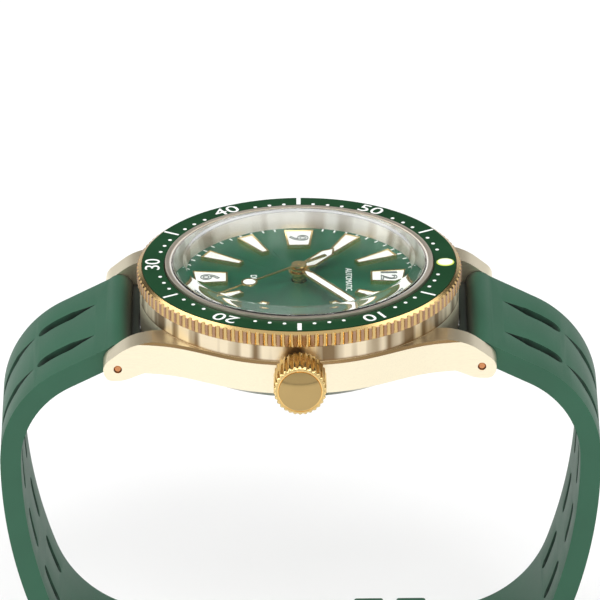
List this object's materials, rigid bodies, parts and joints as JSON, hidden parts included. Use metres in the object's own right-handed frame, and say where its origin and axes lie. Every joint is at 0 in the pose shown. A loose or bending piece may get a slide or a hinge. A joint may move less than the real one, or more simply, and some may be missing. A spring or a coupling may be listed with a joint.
{
  "type": "dive watch",
  "caption": "Automatic dive watch with a turning bezel, screw-down crown, domed crystal and a slotted rubber strap buckled in a loop.",
  "frame": {"origin": "centre of the case back's flat face, on the axis of the hands", "axes": "+Z out of the crystal, +X to 12 o'clock, -Y to 3 o'clock and the crown"},
  "size_m": [0.0722, 0.0446, 0.0592],
  "materials": {
    "case_metal": "pale champagne bronze, brushed",
    "case_back_metal": "brushed",
    "bezel_metal": "rosy bronze, satin",
    "crown_metal": "polished",
    "insert_green": "gloss green",
    "lume": "luminous paste",
    "crystal_glass": "clear",
    "dial_green": "gloss sunburst",
    "gold": "polished",
    "gasket_rubber": "matte",
    "gasket_clear": "satin nylon",
    "spring_steel": "polished",
    "steel": "satin",
    "movement_brass": "gilt",
    "holder_plastic": "matte",
    "ruby": "polished",
    "pin_copper": "satin",
    "strap_rubber": "matte green",
    "buckle_metal": "brushed"
  },
  "bodies": {
    "case": {"balance_cock": "steel", "bezel_click_spring": "spring_steel", "bezel_retaining_wire": "spring_steel", "buckle_bar": "buckle_metal", "buckle_frame": "buckle_metal", "buckle_tongue": "buckle_metal", "case_back": "case_back_metal", "case_back_gasket": "gasket_rubber", "center_tube": "steel", "crown_tube": "steel", "crystal": "crystal_glass", "crystal_gasket": "gasket_clear", "dial": "dial_green", "hour_markers": "gold", "jewels": "ruby", "keeper_fixed": "strap_rubber", "main_plate": "steel", "marker_lume": "lume", "mid_case": "case_metal", "movement_ring": "holder_plastic", "movement_screws": "spring_steel", "pallet_bridge": "steel", "rehaut": "case_metal", "rotor_bearing": "steel", "spring_bar_springs": "spring_steel", "spring_bar_tubes": "steel", "strap_long": "strap_rubber", "strap_short": "strap_rubber", "train_bridge": "steel"},
    "bezel": {"bezel_ring": "bezel_metal", "bezel_insert": "insert_green", "bezel_pip": "lume"},
    "crown_slider": {"crown_gasket": "gasket_rubber"},
    "crown": {"crown": "crown_metal", "winding_stem": "steel"},
    "minute_hand": {"minute_hand": "gold", "minute_hand_lume": "lume", "cannon_pinion": "steel"},
    "hour_hand": {"hour_hand": "gold", "hour_hand_lume": "lume", "hour_wheel": "movement_brass"},
    "minute_wheel": {"minute_wheel": "movement_brass"},
    "seconds_hand": {"seconds_hand": "gold", "seconds_hand_lume": "lume", "fourth_wheel": "movement_brass"},
    "third_wheel": {"third_wheel": "movement_brass"},
    "second_wheel": {"second_wheel": "movement_brass"},
    "barrel": {"barrel": "movement_brass", "mainspring": "spring_steel"},
    "escape_wheel": {"escape_wheel": "steel"},
    "pallet_fork": {"pallet_fork": "steel"},
    "balance": {"balance_wheel": "movement_brass", "hairspring": "spring_steel"},
    "rotor": {"rotor": "steel"},
    "keeper_free": {"keeper_free": "strap_rubber"},
    "bar_tip_12_crown_side": {"spring_bar_tip_12_crown_side": "pin_copper"},
    "bar_tip_12_far_side": {"spring_bar_tip_12_far_side": "pin_copper"},
    "bar_tip_6_crown_side": {"spring_bar_tip_6_crown_side": "pin_copper"},
    "bar_tip_6_far_side": {"spring_bar_tip_6_far_side": "pin_copper"}
  },
  "joints": [
    {"name": "bezel_turn", "type": "hinge", "parent": "case", "child": "bezel", "pos_m": [0, 0, 0.0093], "axis": [0, 0, 1], "continuous": true},
    {"name": "crown_pull", "type": "slide", "parent": "case", "child": "crown_slider", "axis": [0, -1, 0], "range_m": [0, 0.0015]},
    {"name": "crown_turn", "type": "hinge", "parent": "crown_slider", "child": "crown", "pos_m": [0, -0.021, 0.0051], "axis": [0, 1, 0], "continuous": true},
    {"name": "minute_turn", "type": "hinge", "parent": "case", "child": "minute_hand", "pos_m": [0, 0, 0.008], "axis": [0, 0, 1], "continuous": true},
    {"name": "hour_turn", "type": "hinge", "parent": "case", "child": "hour_hand", "pos_m": [0, 0, 0.008], "axis": [0, 0, 1], "continuous": true},
    {"name": "minute_wheel_turn", "type": "hinge", "parent": "case", "child": "minute_wheel", "pos_m": [0.0012, -0.00208, 0.0075], "axis": [0, 0, 1], "continuous": true},
    {"name": "seconds_turn", "type": "hinge", "parent": "case", "child": "seconds_hand", "pos_m": [0, 0, 0.006], "axis": [0, 0, 1], "continuous": true},
    {"name": "third_wheel_turn", "type": "hinge", "parent": "case", "child": "third_wheel", "pos_m": [-0.00005, 0.0045, 0.005], "axis": [0, 0, 1], "continuous": true},
    {"name": "second_wheel_turn", "type": "hinge", "parent": "case", "child": "second_wheel", "pos_m": [-0.00419, 0.00353, 0.005], "axis": [0, 0, 1], "continuous": true},
    {"name": "barrel_turn", "type": "hinge", "parent": "case", "child": "barrel", "pos_m": [-0.0058, -0.0025, 0.005], "axis": [0, 0, 1], "continuous": true},
    {"name": "escape_wheel_turn", "type": "hinge", "parent": "case", "child": "escape_wheel", "pos_m": [0.00388, 0.00141, 0.005], "axis": [0, 0, 1], "continuous": true},
    {"name": "pallet_rock", "type": "hinge", "parent": "case", "child": "pallet_fork", "pos_m": [0.00532, -0.00093, 0.005], "axis": [0, 0, 1], "range_deg": [-4, 4]},
    {"name": "balance_swing", "type": "hinge", "parent": "case", "child": "balance", "pos_m": [0.0072, -0.004, 0.005], "axis": [0, 0, 1], "range_deg": [-270, 270], "stiffness_Nm_per_rad": 0.00000024},
    {"name": "rotor_spin", "type": "hinge", "parent": "case", "child": "rotor", "pos_m": [0, 0, 0.002], "axis": [0, 0, 1], "continuous": true},
    {"name": "keeper_slide", "type": "slide", "parent": "case", "child": "keeper_free", "axis": [1, 0, 0], "range_m": [-0.0011, 0.0013]},
    {"name": "tip_12_crown_side_press", "type": "slide", "parent": "case", "child": "bar_tip_12_crown_side", "axis": [0, 1, 0], "range_m": [0, 0.0032], "stiffness_N_per_m": 200, "springref_m": -0.001},
    {"name": "tip_12_far_side_press", "type": "slide", "parent": "case", "child": "bar_tip_12_far_side", "axis": [0, -1, 0], "range_m": [0, 0.0032], "stiffness_N_per_m": 200, "springref_m": -0.001},
    {"name": "tip_6_crown_side_press", "type": "slide", "parent": "case", "child": "bar_tip_6_crown_side", "axis": [0, 1, 0], "range_m": [0, 0.0032], "stiffness_N_per_m": 200, "springref_m": -0.001},
    {"name": "tip_6_far_side_press", "type": "slide", "parent": "case", "child": "bar_tip_6_far_side", "axis": [0, -1, 0], "range_m": [0, 0.0032], "stiffness_N_per_m": 200, "springref_m": -0.001}
  ],
  "couplings": [
    {"joint": "hour_turn", "follows": "minute_turn", "ratio": 0.083333},
    {"joint": "minute_wheel_turn", "follows": "minute_turn", "ratio": -0.33333},
    {"joint": "third_wheel_turn", "follows": "seconds_turn", "ratio": -0.125},
    {"joint": "second_wheel_turn", "follows": "seconds_turn", "ratio": 0.016667},
    {"joint": "barrel_turn", "follows": "seconds_turn", "ratio": -0.002381},
    {"joint": "escape_wheel_turn", "follows": "seconds_turn", "ratio": -10}
  ]
}
